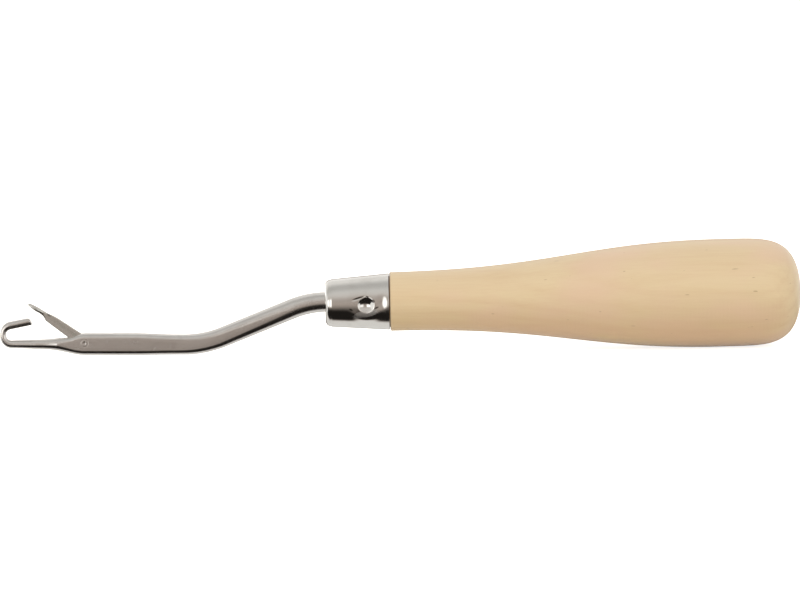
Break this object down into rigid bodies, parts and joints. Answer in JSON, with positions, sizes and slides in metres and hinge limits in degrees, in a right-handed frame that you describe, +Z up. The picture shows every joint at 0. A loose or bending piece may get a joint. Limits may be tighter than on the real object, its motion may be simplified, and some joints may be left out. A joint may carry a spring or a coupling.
{
  "type": "latch hook",
  "caption": "Hand tool for knotting rug yarn: a cranked steel needle with a hooked end and a swinging latch, set by a metal ferrule in a turned wooden handle.",
  "frame": {"origin": "middle of the tool's box, level with its lowest points, which are the handle's belly and the shank's knee", "axes": "+X from the hook to the handle's butt, +Y across the tool and along the latch's rivet, +Z up, on the side that the hook's point and the latch open to"},
  "size_m": [0.165, 0.0222, 0.0223],
  "materials": {
    "wood": "pale close-grained wood, sanded and lightly waxed to a satin",
    "bright_plate": "thin drawn sheet with a bright nickel plate",
    "satin_steel": "nickel-plated steel, satin, with fine lengthwise polishing marks",
    "latch_steel": "pressed steel, a little duller than the needle",
    "rivet_steel": "peened steel, ground nearly flush"
  },
  "bodies": {
    "tool": {"handle": "wood", "ferrule": "bright_plate", "needle": "satin_steel", "latch_rivet": "rivet_steel"},
    "latch": {"latch": "latch_steel"}
  },
  "joints": [
    {"name": "latch_pivot", "type": "hinge", "parent": "tool", "child": "latch", "pos_m": [-0.06507, 0, 0.00275], "axis": [0, 1, 0], "range_deg": [-10.4, 117]}
  ]
}
